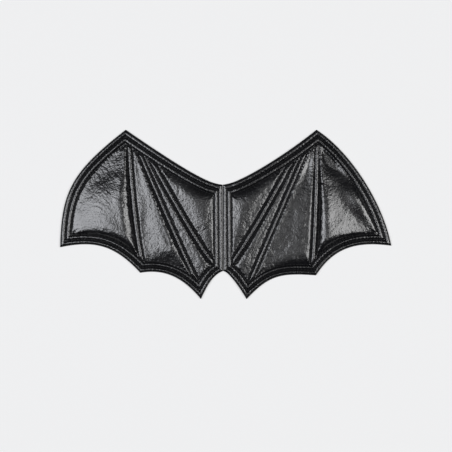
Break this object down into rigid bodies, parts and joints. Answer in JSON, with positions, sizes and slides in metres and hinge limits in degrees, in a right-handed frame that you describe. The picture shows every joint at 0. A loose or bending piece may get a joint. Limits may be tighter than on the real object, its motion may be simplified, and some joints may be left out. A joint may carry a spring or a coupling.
{
  "type": "bat wings",
  "caption": "Padded costume bat wings in glossy black leatherette, quilted with finger ribs and scalloped along the hem, joined by a centre seam.",
  "frame": {"origin": "middle of the outline's bounding box, on the flat back, which is the surface that the wings lie on", "axes": "+X across the span towards the wing on the picture's right, +Y from the hem points up to the wrists, +Z out of the padded front"},
  "size_m": [0.42, 0.215, 0.0107],
  "materials": {
    "front_leatherette": "glossy crinkle-grain coated fabric",
    "back_leatherette": "glossy crinkle-grain coated fabric, pressed flat",
    "thread": "bonded polyester topstitching"
  },
  "bodies": {
    "root": {"left_back_panel": "back_leatherette", "left_edge_roll": "front_leatherette", "left_border_rib": "front_leatherette", "left_first_rib": "front_leatherette", "left_second_rib": "front_leatherette", "left_third_rib": "front_leatherette", "left_outer_panel": "front_leatherette", "left_middle_panel": "front_leatherette", "left_inner_panel": "front_leatherette", "left_root_panel": "front_leatherette", "right_back_panel": "back_leatherette", "right_edge_roll": "front_leatherette", "right_border_rib": "front_leatherette", "right_first_rib": "front_leatherette", "right_second_rib": "front_leatherette", "right_third_rib": "front_leatherette", "right_outer_panel": "front_leatherette", "right_middle_panel": "front_leatherette", "right_inner_panel": "front_leatherette", "right_root_panel": "front_leatherette"}
  },
  "joints": []
}
